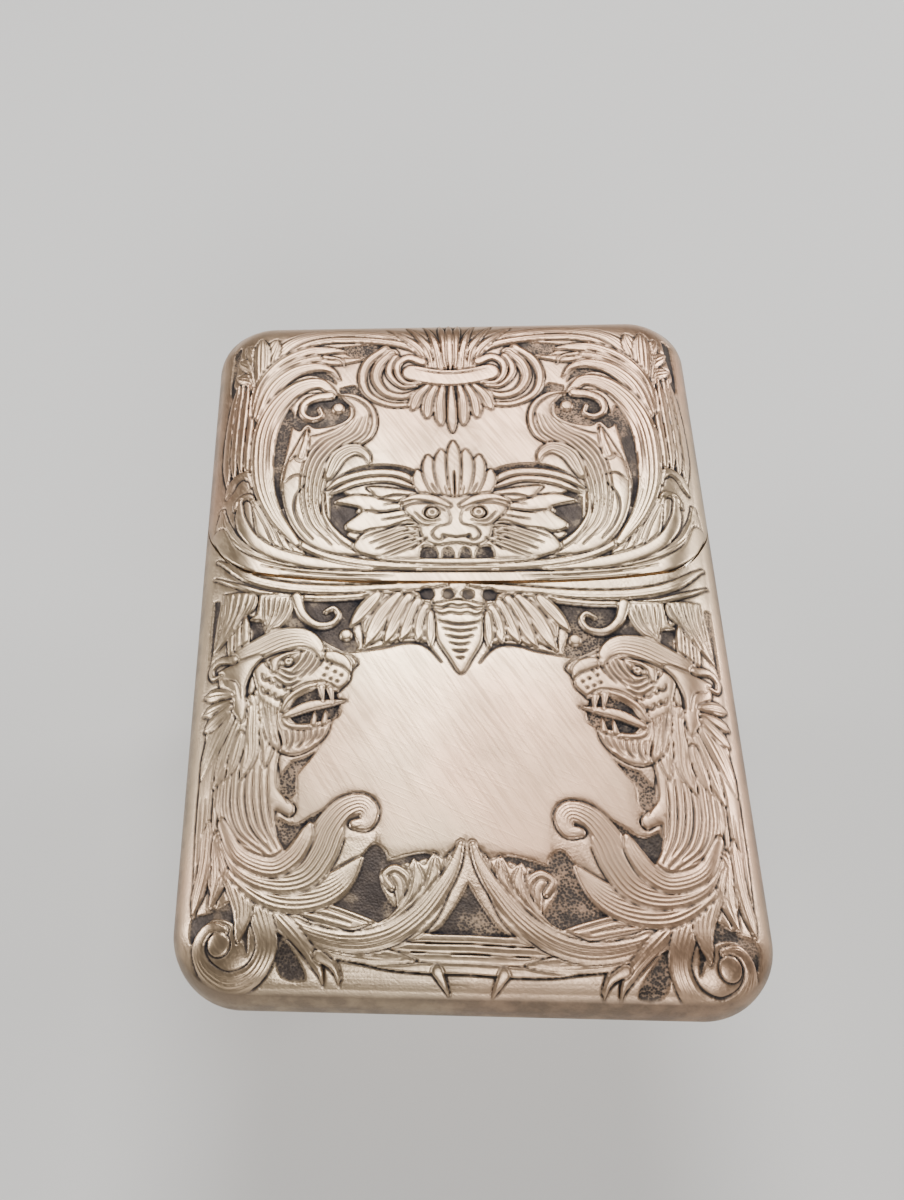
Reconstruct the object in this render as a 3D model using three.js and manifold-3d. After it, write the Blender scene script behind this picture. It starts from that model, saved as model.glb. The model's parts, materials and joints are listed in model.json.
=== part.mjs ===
// Pocket needle case: a flat rounded case struck from sheet silver, with a slanting mouth,
// a lid hinged across the back and a stepped rack for needle packets inside.
// The case lies on its back. +Z comes out of the front, +Y points to the lid's end,
// +X is to the right, and the origin is under the middle of the case. Millimetres.

import * as THREE from 'three';
import { mergeVertices } from 'three/addons/utils/BufferGeometryUtils.js';
import Module from 'manifold-3d';

const wasm = await Module();
wasm.setup();

// Case
const caseWidth = 41;
const caseHeight = 61.5;
const caseThickness = 8.2;
const cornerRadius = 5;         // corners of the outline, seen from the front
const faceCornerRadius = 0.4;   // what is left of them where the rounded edge meets the flat face
const sideBand = 0.4;           // straight band round the narrow sides, where front and back meet
const wall = 0.45;              // thickness of the sheet
const edgeSteps = 7;
const cornerSteps = 6;
const bowSteps = 40;
const mouthSteps = 8;

// Mouth and hinge
const lidFrontLength = 29.4;    // top of the case to the middle of the lid's lip, on the front
const lidBackLength = 14.7;     // top of the case to the hinge, on the back
const mouthBow = 1.9;           // how far the lip has risen where it reaches the sides
const seamGap = 0.1;
const barrelRadius = 0.8;
const barrelSkin = 0.05;        // how far the barrel stays inside the back face
const pinRadius = 0.38;
const pinClearance = 0.08;
const barrelInset = 1.9;        // the barrel's ends stop this far inside the case's sides
const pinInset = 0.8;           // and the pin's ends this far inside the barrel's
const lidKnuckleLength = 6.4;
const middleKnuckleLength = 6.6;
const knuckleGap = 0.08;
const reliefGap = 0.4;          // from the barrel to the cut edges of the back wall
const bearerReach = 3;          // how far each bearer strip runs from the axis
const bearerThickness = 0.85;
const bearerGap = 0.06;         // bearer groove to barrel

// Inner collar that the lid closes over
const collarThickness = 0.35;
const collarGap = 0.03;
const collarRise = 2.5;         // above the mouth, along the case
const collarDepth = 4;          // below the mouth, along the case
const collarFloor = 5.5;        // height above the back at which the collar's ends stop

// Rack for needle packets
const cardThickness = 0.4;
const backPadThickness = 1.2;
const packetSlots = 3;
const rackGap = 0.1;
const stepHeight = 2;
const lowestStep = 1.3;         // from the underside of the block to its lowest step
const dividerHeight = 16;       // of the rearmost divider above its own step
const dividerDrop = 0.4;        // each divider is this much shorter than the one behind it
const backPadGap = 0.2;         // between the back pad and the hinge bearer
const stripThickness = 0.5;

const sections = 16;            // flats round a barrel or a pin

const silver = { color: 0xc7b9a6, metalness: 1, roughness: 0.32 };
const plainSilver = { color: 0xcfc8bc, metalness: 1, roughness: 0.28 };
const hingeSilver = { color: 0xb8ada0, metalness: 1, roughness: 0.36 };
const pinSteel = { color: 0x8f8b84, metalness: 1, roughness: 0.4 };
const paddedLeather = { color: 0x5b2320, metalness: 0, roughness: 0.7 };
const cardBoard = { color: 0x6b3a2c, metalness: 0, roughness: 0.85 };

const halfWidth = caseWidth / 2;
const halfHeight = caseHeight / 2;
const middle = caseThickness / 2;
const hingeY = halfHeight - lidBackLength;
const hingeZ = barrelRadius + barrelSkin;
const lipY = halfHeight - lidFrontLength;
const hingeRelief = barrelRadius + reliefGap;
const barrelEnd = halfWidth - barrelInset;
const pinEnd = barrelEnd - pinInset;
const beyond = 5;               // cutters run this far past the case
const cutWidth = halfWidth + beyond;
const low = -beyond;
const high = caseThickness + beyond;
const farY = halfHeight + beyond;

const needleCase = new THREE.Group();

function place(name, geometry, look) {
  const mesh = new THREE.Mesh(geometry, new THREE.MeshStandardMaterial(look));
  mesh.name = name;
  needleCase.add(mesh);
}

// Solids

function toSolid(geometry) {
  const bare = geometry.clone();
  bare.deleteAttribute('normal');
  bare.deleteAttribute('uv');
  const merged = mergeVertices(bare, 1e-5);
  return new wasm.Manifold(new wasm.Mesh({
    numProp: 3,
    vertProperties: new Float32Array(merged.attributes.position.array),
    triVerts: new Uint32Array(merged.index.array),
  }));
}

function toGeometry(solid) {
  const mesh = solid.getMesh();
  const geometry = new THREE.BufferGeometry();
  geometry.setAttribute('position', new THREE.BufferAttribute(new Float32Array(mesh.vertProperties), 3));
  geometry.setIndex(new THREE.BufferAttribute(new Uint32Array(mesh.triVerts), 1));
  geometry.computeVertexNormals();
  return geometry;
}

// The case's outside, or the same form with every wall moved in by inset.
function caseForm(inset) {
  const x = halfWidth - inset;
  const y = halfHeight - inset;
  const radius = cornerRadius - inset;
  const reach = radius - faceCornerRadius;
  const outline = new THREE.Shape();
  outline.moveTo(-x + radius, -y);
  outline.lineTo(x - radius, -y);
  outline.absarc(x - radius, -y + radius, radius, -Math.PI / 2, 0);
  outline.absarc(x - radius, y - radius, radius, 0, Math.PI / 2);
  outline.absarc(-x + radius, y - radius, radius, Math.PI / 2, Math.PI);
  outline.absarc(-x + radius, -y + radius, radius, Math.PI, 1.5 * Math.PI);
  const geometry = new THREE.ExtrudeGeometry(outline, {
    depth: sideBand,
    bevelThickness: (caseThickness - sideBand) / 2 - inset,
    bevelSize: reach,
    bevelOffset: -reach,
    bevelSegments: edgeSteps,
    curveSegments: cornerSteps,
  });
  geometry.translate(0, 0, middle - sideBand / 2);
  return toSolid(geometry);
}

// How far the inside's rounded edge has come in from its widest outline at height z.
function edgeInset(z, inset) {
  const rise = (caseThickness - sideBand) / 2 - inset;
  const reach = cornerRadius - inset - faceCornerRadius;
  const share = Math.max(0, Math.abs(z - middle) - sideBand / 2) / rise;
  return reach * (1 - Math.sqrt(1 - share * share));
}

// A side view in (y, z) carried along X.
const toSideView = new THREE.Matrix4().makeBasis(
  new THREE.Vector3(0, 1, 0), new THREE.Vector3(0, 0, 1), new THREE.Vector3(1, 0, 0));

function alongX(outline, from, to) {
  const geometry = new THREE.ExtrudeGeometry(outline, {
    depth: to - from,
    bevelEnabled: false,
    curveSegments: sections / 2,
  });
  return geometry.translate(0, 0, from).applyMatrix4(toSideView);
}

function sideView(points) {
  return new THREE.Shape(points.map(([y, z]) => new THREE.Vector2(y, z)));
}

function ring(radius, bore) {
  const outline = new THREE.Shape();
  outline.absarc(hingeY, hingeZ, radius, 0, 2 * Math.PI);
  if (bore > 0) {
    const hole = new THREE.Path();
    hole.absarc(hingeY, hingeZ, bore, 0, 2 * Math.PI);
    outline.holes.push(hole);
  }
  return outline;
}

// Y of the slanting mouth at height z. The mouth runs from the lip through the hinge's axis.
function mouthY(z) {
  return hingeY + (z - hingeZ) * (lipY - hingeY) / (caseThickness - hingeZ);
}

// A cutter that follows the mouth: a side view carried along X, bent so that the lip rises
// towards the sides while the line through the hinge's axis stays straight.
function mouthCutter(points) {
  const geometry = new THREE.ExtrudeGeometry(sideView(points), {
    depth: 2 * cutWidth,
    steps: bowSteps,
    bevelEnabled: false,
  });
  geometry.translate(0, 0, -cutWidth);
  geometry.applyMatrix4(toSideView);
  const position = geometry.attributes.position;
  for (let i = 0; i < position.count; i += 1) {
    const bow = mouthBow * Math.abs(position.getX(i) / halfWidth) ** 3;
    const share = Math.max(0, position.getZ(i) - hingeZ) / (caseThickness - hingeZ);
    position.setY(i, position.getY(i) + bow * share);
  }
  return toSolid(geometry);
}

const mouthSlope = (caseThickness - hingeZ) / (lipY - hingeY);
const seamShift = seamGap / 2 * Math.hypot(1, 1 / mouthSlope);
const groove = toSolid(alongX(ring(barrelRadius + bearerGap, 0), -cutWidth, cutWidth));

// The mouth's line from height startZ up to the cutters' top, moved along the case by shift.
function mouthLine(startZ, shift) {
  const line = [];
  for (let step = 0; step <= mouthSteps; step += 1) {
    const z = startZ + (high - startZ) * step / mouthSteps;
    line.push([mouthY(z) + shift, z]);
  }
  return line;
}

const bodySide = mouthCutter([
  [-farY, low],
  [hingeY - hingeRelief, low],
  ...mouthLine(hingeZ + mouthSlope * (seamShift - hingeRelief), -seamShift),
  [-farY, high],
]);

const lidSide = mouthCutter([
  [farY, low],
  [farY, high],
  ...mouthLine(hingeZ, seamShift).reverse(),
  [hingeY + hingeRelief, hingeZ],
  [hingeY + hingeRelief, low],
]).subtract(groove);

function slabBetween(lowZ, highZ) {
  return toSolid(alongX(sideView([[-farY, lowZ], [farY, lowZ], [farY, highZ], [-farY, highZ]]),
    -cutWidth, cutWidth));
}

const outside = caseForm(0);
const inside = caseForm(wall);
const sheet = outside.subtract(inside);
const backHalf = slabBetween(low, middle);
const frontHalf = slabBetween(middle, high);

// The four stampings: each half of the case is a front and a back, soldered along the sides.
place('body_front_shell', toGeometry(sheet.intersect(bodySide).intersect(frontHalf)), silver);
place('body_back_shell', toGeometry(sheet.intersect(bodySide).intersect(backHalf)), silver);
place('lid_front_shell', toGeometry(sheet.intersect(lidSide).intersect(frontHalf)), silver);
place('lid_back_shell', toGeometry(sheet.intersect(lidSide).intersect(backHalf)), silver);

// Collar: a strip inside the body's front and the turn of its sides, standing above the mouth.
const collarOutside = wall + collarGap;
const collarBand = mouthCutter([
  [mouthY(collarFloor) - collarDepth, collarFloor],
  [mouthY(collarFloor) + collarRise, collarFloor],
  [mouthY(high) + collarRise, high],
  [mouthY(high) - collarDepth, high],
]);
const collar = caseForm(collarOutside)
  .subtract(caseForm(collarOutside + collarThickness))
  .intersect(collarBand);
place('body_collar', toGeometry(collar), plainSilver);

// Hinge: a bearer strip on each back wall, and five lengths of tube on one pin.
const bearerRoom = caseForm(wall + collarGap);
const bearerLow = wall + collarGap;

function bearer(side) {
  const outline = sideView(side < 0
    ? [[hingeY - bearerReach, bearerLow], [hingeY - barrelRadius / 2, bearerLow],
      [hingeY - barrelRadius / 2, bearerLow + bearerThickness], [hingeY - bearerReach, bearerLow + bearerThickness]]
    : [[hingeY + barrelRadius / 2, bearerLow], [hingeY + bearerReach, bearerLow],
      [hingeY + bearerReach, bearerLow + bearerThickness],
      [hingeY + barrelRadius / 2, bearerLow + bearerThickness]]);
  return toSolid(alongX(outline, -barrelEnd, barrelEnd))
    .intersect(bearerRoom)
    .subtract(groove);
}

place('body_hinge_bearer', toGeometry(bearer(-1)), hingeSilver);
place('lid_hinge_bearer', toGeometry(bearer(1)), hingeSilver);

const boreRadius = pinRadius + pinClearance;
const middleEnd = middleKnuckleLength / 2;
const lidStart = middleEnd + knuckleGap;
const lidEnd = lidStart + lidKnuckleLength;
const endStart = lidEnd + knuckleGap;

function knuckle(from, to) {
  return toSolid(alongX(ring(barrelRadius, boreRadius), from, to)).intersect(outside);
}

place('body_knuckle_left', toGeometry(knuckle(-barrelEnd, -endStart)), hingeSilver);
place('lid_knuckle_left', toGeometry(knuckle(-lidEnd, -lidStart)), hingeSilver);
place('body_knuckle_middle', toGeometry(knuckle(-middleEnd, middleEnd)), hingeSilver);
place('lid_knuckle_right', toGeometry(knuckle(lidStart, lidEnd)), hingeSilver);
place('body_knuckle_right', toGeometry(knuckle(endStart, barrelEnd)), hingeSilver);
place('hinge_pin', alongX(ring(pinRadius, 0), -pinEnd, pinEnd), pinSteel);

// Rack: a padded back, a stepped block, dividers that stand on its steps, and two side strips.
const rackBack = wall + rackGap;
const slotsStart = rackBack + backPadThickness;
const rackFront = caseThickness - collarOutside - collarThickness - rackGap;
const pitch = (rackFront - slotsStart) / packetSlots;
const slotDepth = pitch - cardThickness;
const rackInset = wall + Math.max(edgeInset(rackFront, wall), edgeInset(rackBack, wall));
const cornerLeft = Math.max(cornerRadius - rackInset, faceCornerRadius);
const cornerRoom = cornerLeft * (1 - Math.SQRT1_2) + rackGap;
const rackHalfWidth = halfWidth - rackInset - cornerRoom;
const rackBottom = -(halfHeight - rackInset - cornerRoom);
const cardHalfWidth = rackHalfWidth - stripThickness;

function rackPiece(name, points, halfLength, look) {
  place(name, alongX(sideView(points), -halfLength, halfLength), look);
}

function card(lowY, highY, backZ, thickness) {
  return [[lowY, backZ], [highY, backZ], [highY, backZ + thickness], [lowY, backZ + thickness]];
}

rackPiece('rack_back_pad', card(rackBottom, hingeY - bearerReach - backPadGap, rackBack, backPadThickness),
  rackHalfWidth, paddedLeather);

const steps = [];
for (let slot = 0; slot < packetSlots; slot += 1) {
  const rise = lowestStep + stepHeight * (packetSlots - 1 - slot);
  const endZ = slot < packetSlots - 1 ? slotsStart + slot * pitch + slotDepth : rackFront - cardThickness;
  steps.push({ top: rackBottom + rise, startZ: slot ? steps[slot - 1].endZ : slotsStart, endZ });
}
const blockOutline = [[rackBottom, slotsStart]];
for (const step of steps) {
  blockOutline.push([step.top, step.startZ], [step.top, step.endZ]);
}
blockOutline.push([rackBottom, rackFront - cardThickness]);
rackPiece('rack_step_block', blockOutline, cardHalfWidth, cardBoard);

for (let slot = 1; slot < packetSlots; slot += 1) {
  const foot = steps[slot].top;
  const height = dividerHeight - dividerDrop * (slot - 1);
  rackPiece(`rack_divider_${slot}`, card(foot, foot + height, steps[slot].startZ, cardThickness),
    cardHalfWidth, cardBoard);
}
const frontHeight = steps[packetSlots - 1].top + dividerHeight - dividerDrop * packetSlots;
rackPiece('rack_front_card', card(rackBottom, frontHeight, rackFront - cardThickness, cardThickness),
  cardHalfWidth, paddedLeather);

const stripTop = steps[1].top + dividerHeight;
const stripOutline = sideView([
  [rackBottom, slotsStart],
  [stripTop, slotsStart],
  [frontHeight, rackFront],
  [rackBottom, rackFront],
]);
place('rack_side_strip_left', alongX(stripOutline, -rackHalfWidth, -cardHalfWidth), paddedLeather);
place('rack_side_strip_right', alongX(stripOutline, cardHalfWidth, rackHalfWidth), paddedLeather);

export default needleCase;
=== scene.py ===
import json
import math

import bpy
import numpy as np
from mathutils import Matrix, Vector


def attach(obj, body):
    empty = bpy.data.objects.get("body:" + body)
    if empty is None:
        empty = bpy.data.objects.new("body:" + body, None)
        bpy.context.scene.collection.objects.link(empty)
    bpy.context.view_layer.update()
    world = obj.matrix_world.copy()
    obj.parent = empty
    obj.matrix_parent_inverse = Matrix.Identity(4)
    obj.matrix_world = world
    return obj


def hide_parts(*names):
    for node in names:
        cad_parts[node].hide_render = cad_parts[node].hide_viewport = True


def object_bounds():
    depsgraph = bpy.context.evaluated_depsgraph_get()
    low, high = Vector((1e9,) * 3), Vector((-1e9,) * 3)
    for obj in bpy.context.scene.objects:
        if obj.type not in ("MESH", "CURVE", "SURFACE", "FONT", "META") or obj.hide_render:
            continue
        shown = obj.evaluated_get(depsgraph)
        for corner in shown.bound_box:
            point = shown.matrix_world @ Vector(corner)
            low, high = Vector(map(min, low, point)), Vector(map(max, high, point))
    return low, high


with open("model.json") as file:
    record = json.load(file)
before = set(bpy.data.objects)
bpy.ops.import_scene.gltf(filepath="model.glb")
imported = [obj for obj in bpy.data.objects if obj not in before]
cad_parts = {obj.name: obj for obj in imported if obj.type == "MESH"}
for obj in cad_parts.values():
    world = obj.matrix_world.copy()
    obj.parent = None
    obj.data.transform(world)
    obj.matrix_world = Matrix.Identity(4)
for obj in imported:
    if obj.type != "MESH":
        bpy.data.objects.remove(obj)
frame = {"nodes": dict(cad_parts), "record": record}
cadLow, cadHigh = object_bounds()
bpy.ops.object.select_all(action="DESELECT")
mm = 0.001
print("frame loaded")

# Lengths on the dies are in millimetres. A stroke is (kind, width, flutes across it, points from root to tip);
# a comb spreads that many lines between two lists of points. x runs from the left edge (-20.5) to the middle
# (0), y up the case, and the right half mirrors the left.

relief = {
    "cell": 0.05,
    "left": -21.0,
    "low": -31.2,
    "high": 31.2,
    "ground": -0.31,  # floor of the sunk ground
    "field": -0.17,  # flats between the leaves
    "plain": -0.13,  # the plain reserves
    "rim": -0.03,  # the bare outer band
    "rimFrom": 19.25,
    "top": -0.03,  # crown of the leaves
    "crown": 0.085,  # how much a leaf a millimetre wide is domed
    "flute": 0.08,
    "outline": 0.12,  # width of the cut round each leaf
    "outlineDepth": 0.16,
    "panelDrop": 0.02,  # a flat panel lies this much under the crown
    "panelRound": 0.07,  # and is rounded off at its edge
    "panelFade": 0.22,
    "hollowEdge": 0.12,
    "cut": 0.12,  # depth of an engraved line or dot
    "pit": 1.0,
    "combWidths": (1.2, 0.85, 1.0, 0.75),  # shares of the width, line by line
    "combShort": 0.6,  # every other line stops here in its last leg
    "fieldCover": 0.7,  # how far the matting is kept off the flats
    "rimFade": 0.6,
    # painted shade on the bare outer band, darker where the edge falls away from the lights
    "rimPaintedShade": 0.22,
    "reserveEdge": 5,  # softness of the reserve's edge, in cells
    "overlap": 2.2,  # a stroke this near the middle is struck with its twin
    "shadeReach": 6,  # recesses are found against the height this many cells round
    "shadeFrom": 0.012,
    "shadeSpan": 0.085,
    "deepFrom": 0.19,  # and by plain depth
    "deepSpan": 0.09,
    "deepShare": 0.68,
    "rightDrop": 0.05,  # the body's die sits a little low on the right, in mm per mm
}


def panel(*outline):
    return ("panel", 0, 0, list(outline))


def hollow(*outline):
    return ("hollow", 0, 0, list(outline))


def dots(width, *places):
    return [("dot", width, 0, [place]) for place in places]


lidOrnament = {
    "grounds": [
        hollow((-9.9, 26.1), (-7.4, 26.4), (-5.1, 26.2), (-4.5, 25.2), (-5.6, 25), (-7.4, 24.9),
          (-8.6, 24.9)),
        hollow((-15, 21.2), (-13.9, 23), (-12, 23.7), (-10.2, 22.8), (-9.8, 21.7), (-10.6, 22.3),
          (-12.3, 22.8), (-13.8, 22)),
        hollow((-13.3, 18.4), (-12.6, 20.2), (-11.2, 20.8), (-9.6, 20.4), (-8.7, 19.6), (-8.6, 18.2),
          (-9.6, 17.3), (-11.4, 16.9), (-12.2, 17.3), (-12.8, 16.6), (-13.5, 17.2)),
        hollow((-14.9, 16.6), (-14, 19), (-13.3, 18.6), (-13.5, 16.4), (-13.9, 13.6), (-14.2, 11.2),
          (-13.9, 8.6), (-14.6, 9.2), (-15.1, 12.4)),
        hollow((-10.2, 9.6), (-9.2, 10.3), (-7.4, 9), (-7.9, 8.3), (-7.4, 7.2), (-8.6, 6), (-7.2, 5),
          (-8.4, 4.5), (-9.9, 6.2)),
        hollow((-9.9, 11.7), (-7.6, 12.9), (-5, 13), (-3.2, 12.4), (-2.9, 11.5), (-5, 12.4), (-7.6, 12.4)),
        hollow((-19.2, 26.6), (-18.4, 26.9), (-18.6, 24.4), (-18.9, 22.6), (-18.2, 21.6), (-18.5, 20.9),
          (-19.3, 21.8)),
        hollow((-9.6, 21.4), (-8.2, 21.7), (-7.6, 20.6), (-8, 20.2), (-9.4, 20.7)),
    ],
    "topBands": [
        ("strip", 1.3, 4, [(-1.3, 24), (-2.6, 25.7), (-4.6, 27.1), (-7.6, 27.9), (-10.8, 27.9), (-13.4, 26.9),
          (-15.1, 24.9), (-16.1, 22)]),
        ("strip", 0.8, 2, [(-1.9, 24.2), (-3.2, 25.8), (-5.4, 26.6), (-8.2, 27), (-11, 26.9), (-13.2, 25.9),
          (-15, 23.7)]),
    ],
    "cornerTuft": [
        ("tongue", 1.3, 3, [(-16.4, 20.6), (-17.1, 22.4), (-18.5, 23.2)]),
        ("tongue", 1.3, 3, [(-16.4, 21.2), (-17, 23.6), (-18.4, 25)]),
        ("tongue", 1.4, 3, [(-16.3, 21.4), (-16.7, 24.4), (-17.7, 26.4)]),
        ("tongue", 1.5, 3, [(-16.2, 21.2), (-15.9, 24.4), (-15.2, 27)]),
        ("tongue", 1.5, 3, [(-16.3, 21), (-16.4, 24.4), (-16.5, 27.1)]),
    ],
    "sideFlutes": [
        ("strip", 0.75, 0, [(-18.4, 22.2), (-18.9, 18), (-19, 14.5), (-18.8, 11.4)]),
        ("strip", 0.6, 0, [(-18, 22.2), (-18.3, 18), (-18.4, 14.5), (-18.2, 11.8)]),
        ("strip", 0.6, 0, [(-17.5, 22), (-17.7, 18.5), (-17.8, 14.5), (-17.6, 12)]),
        ("strip", 0.6, 0, [(-17, 21.6), (-17.1, 17), (-17.2, 14), (-17.1, 11.6)]),
    ],
    "upperLeaf": [
        ("leaf", 1.7, 4, [(-16.6, 18.6), (-16, 21.6), (-14.5, 24), (-12.4, 25.4), (-10.4, 25.7),
          (-8.9, 25.5)]),
        ("leaf", 1.5, 3, [(-16.5, 18.4), (-15.6, 21.4), (-13.9, 23.5), (-11.8, 24.5), (-9.6, 24.4),
          (-7.4, 24.6)]),
        ("leaf", 1.3, 3, [(-16.3, 18), (-15.3, 21.2), (-13.7, 23.1), (-11.8, 23.8), (-10.3, 23.4),
          (-9.5, 22.3)]),
        ("blade", 0.5, 0, [(-10.9, 24.9), (-9.6, 24.6), (-9.1, 23.8)]),
    ],
    "lowerSideHooks": [
        ("strip", 0.75, 0, [(-18.8, 10.2), (-18.2, 11.6), (-17.3, 12.1), (-16.6, 11.6), (-16.6, 10.8)]),
        ("strip", 0.6, 0, [(-18, 8.6), (-17.5, 9.6), (-16.8, 9.8), (-16.3, 9.2)]),
    ],
    "ribbedBlock": [
        panel((-16.6, 9.4), (-15.2, 9.2), (-13.2, 6), (-12, 3.9), (-14.4, 4.2), (-15.8, 5.6)),
        ("comb", 0.2, 7, [(-16.4, 8.9), (-15.3, 6.8), (-14.4, 4.4)], [(-14.8, 8.8), (-13.4, 6.4),
          (-12.3, 4.4)]),
    ],
    "lipSwags": [
        ("strip", 1.5, 4, [(-19.1, 9), (-18.9, 7.2), (-18.1, 5.5), (-16.6, 4.1), (-14.5, 3.2), (-12, 2.7),
          (-8, 2.35)]),
        ("strip", 1.1, 0, [(-17.5, 9.4), (-17.4, 7.6), (-16.6, 5.9), (-15.2, 4.6), (-13.2, 3.7), (-10.5, 3.1),
          (-6, 2.75)]),
        ("strip", 0.8, 2, [(-14.6, 8.6), (-13.7, 6.5), (-12.3, 5), (-10.2, 3.9), (-7.6, 3.25), (-4.5, 2.95),
          (0, 2.85)]),
    ],
    "stem": [
        ("neck", 2.1, 4, [(-12.7, 5.1), (-14.6, 8), (-15.7, 11.4), (-15.8, 15.9), (-14.9, 19.1),
          (-13.2, 21.3), (-11.3, 21.9), (-10, 20.7)]),
        ("line", 0.2, 0, [(-14.9, 10.2), (-15.3, 13), (-15.2, 16.2), (-14.3, 18.8), (-12.8, 20.6),
          (-11.2, 20.9)]),
    ],
    "swanNeck": [
        ("curl", 0.85, 0, [(-10.3, 20.5), (-11.5, 20.3), (-12.5, 19.6), (-12.6, 18.5), (-11.8, 17.9),
          (-11, 18.3), (-11.2, 19.1)]),
        ("ball", 1.1, 0, [(-9.6, 19.1)]),
        panel((-9.6, 20.7), (-8, 20.3), (-6.8, 19.2), (-6.35, 17.6), (-6.8, 15.9), (-8, 14.7), (-9.6, 13.3),
          (-10.5, 11.2), (-10.6, 8.8), (-9.8, 6.6), (-8.2, 4.9), (-7, 4.1), (-9.4, 4), (-11.6, 4.9),
          (-13.2, 7), (-14, 9.8), (-13.9, 12.8), (-13, 15.2), (-12.2, 16.9), (-11.8, 16.1), (-10, 16.8),
          (-8.5, 17.8), (-8.3, 19), (-8.9, 19.8)),
        ("comb", 0.2, 6, [(-6.9, 18.4), (-7.3, 16.3), (-8.9, 14.8), (-10.5, 12.6), (-11, 9.6), (-10.4, 7.2),
          (-8.6, 5)], [(-8.6, 17.6), (-9.9, 16.3), (-11.2, 15.5), (-12.3, 13.6), (-12.6, 10.4), (-12, 7.2),
          (-10.2, 4.8)]),
        ("line", 0.26, 0, [(-12.2, 11), (-12.9, 9.8), (-13, 8.4), (-12.4, 6.8), (-11.4, 5.4)]),
        ("line", 0.2, 0, [(-13.7, 13.4), (-12.9, 14), (-12, 13.9)]),
        ("line", 0.2, 0, [(-13.9, 11.2), (-13.1, 11.9), (-12.1, 11.8)]),
        ("strip", 0.5, 0, [(-8, 14.9), (-6.9, 16), (-6.5, 17.6), (-6.9, 19.2), (-8.1, 20.3), (-9.7, 20.6)]),
        ("leaf", 1.3, 2, [(-10.3, 11.8), (-9.5, 13.8), (-8.2, 14.6), (-7.2, 14), (-6.9, 13)]),
        ("blade", 0.9, 2, [(-12.6, 13.8), (-12.3, 15.4), (-12.2, 17)]),
    ],
    "innerSwag": [
        ("strip", 0.6, 0, [(-10.7, 10), (-10.5, 7.8), (-9.4, 5.9), (-7.8, 4.6), (-5.6, 3.7), (-3.2, 3.4),
          (0, 3.3)]),
    ],
    "maskArches": [
        ("strip", 0.75, 2, [(-2.7, 10.9), (-4.6, 12), (-7, 12.1), (-9.2, 11.4), (-10.3, 10.5)]),
        ("strip", 0.6, 0, [(-3, 10.5), (-5.4, 11.4), (-8, 11.1), (-10.1, 10)]),
    ],
    "maskEars": [
        panel((-2.6, 10), (-4.6, 10.5), (-7.1, 10.7), (-6.5, 9.8), (-8.2, 9.9), (-9.8, 9.2), (-8.4, 8.8),
          (-7.5, 8.3), (-8.9, 6.9), (-8.2, 6.2), (-6, 6.2), (-4.2, 6.9), (-2.6, 7.6)),
        ("comb", 0.2, 4, [(-3.4, 9.7), (-4.8, 9.8), (-6.2, 9.4)], [(-3.6, 7.8), (-5, 7.5), (-6.6, 7.2)]),
        ("line", 0.24, 0, [(-6.5, 9.7), (-5.2, 9.2), (-4, 9.1)]),
        ("line", 0.24, 0, [(-7.4, 8.3), (-5.8, 8.1), (-4.4, 8.3)]),
    ],
    "maskHair": [
        panel((-2.4, 7), (-3.8, 7.2), (-5.4, 6.6), (-7.2, 6.2), (-8.2, 4.7), (-7, 3.9), (-4.5, 3.6),
          (-2.4, 3.8), (-1.6, 5.6)),
        ("comb", 0.2, 8, [(-2.6, 6.8), (-4.2, 6.9), (-5.8, 6.3), (-7.4, 5.6)], [(-2.8, 5), (-3.6, 4.6),
          (-4.6, 4.1), (-5.6, 3.6)]),
    ],
    "maskCrown": [
        ("tongue", 1.4, 0, [(-1.2, 9), (-2.4, 10.4), (-3, 12.2)]),
        ("tongue", 1.4, 0, [(-0.9, 9), (-1.7, 11.3), (-2.1, 13.7)]),
        ("tongue", 1.35, 0, [(-0.5, 9), (-0.9, 11.7), (-1, 14.3)]),
        ("tongue", 1.2, 0, [(0, 9), (0, 12.2), (0, 15.2)]),
        ("comb", 0.2, 3, [(-1, 9.4), (-1.9, 10.9)], [(0, 9.6), (0, 12.2)]),
    ],
    "maskFace": [
        panel((0, 9.6), (-2.2, 9.8), (-4.2, 9.2), (-3.9, 8), (-3, 7), (-2.7, 5.6), (-1.6, 4.9), (0, 5.1),
          (1.6, 4.9), (2.7, 5.6), (3, 7), (3.9, 8), (4.2, 9.2), (2.2, 9.8)),
        ("comb", 0.18, 5, [(-3.1, 7), (-3.9, 6.9), (-4.8, 6.5)], [(-2.5, 5.4), (-3, 5), (-3.6, 4.4)]),
        ("line", 0.3, 0, [(-4.3, 8.5), (-3.2, 9), (-1.9, 8.9), (-0.8, 8.2)]),
        ("leaf", 0.7, 0, [(-0.5, 8.7), (-1.7, 9.4), (-3.2, 9.6), (-4.6, 9)]),
        ("pit", 1.3, 0, [(-1.9, 8.05)]),
        ("ball", 1.05, 0, [(-1.85, 8.05)]),
        ("dot", 0.4, 0, [(-1.85, 8.05)]),
        ("line", 0.2, 0, [(-3.3, 8.1), (-2.4, 7.2), (-1.2, 7.3)]),
        ("line", 0.14, 0, [(-3.6, 7.6), (-2.6, 6.8), (-1.4, 6.9)]),
        ("line", 0.18, 0, [(-0.65, 8.4), (-0.4, 7.6), (-0.55, 6.9), (-1.5, 6.6), (-1.9, 5.9), (-1.4, 5.3),
          (-0.7, 5.7), (0, 5.6)]),
        ("dot", 0.42, 0, [(-1, 5.75)]),
        hollow((-3, 3.7), (-2.8, 4.7), (-2.2, 4.9), (-1.6, 4.6), (-1.5, 3.7)),
        hollow((-1.2, 3.7), (-1.1, 4.5), (-0.7, 4.8), (-0.3, 4.5), (-0.2, 3.7)),
        ("comb", 0.2, 3, [(-2.8, 4.4), (-2.8, 3.7)], [(-1.7, 4.4), (-1.7, 3.7)]),
        *dots(0.26, (-2.4, 5.5), (-2.9, 5.9), (-2.9, 5.3)),
    ],
    "ringCurls": [
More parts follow.
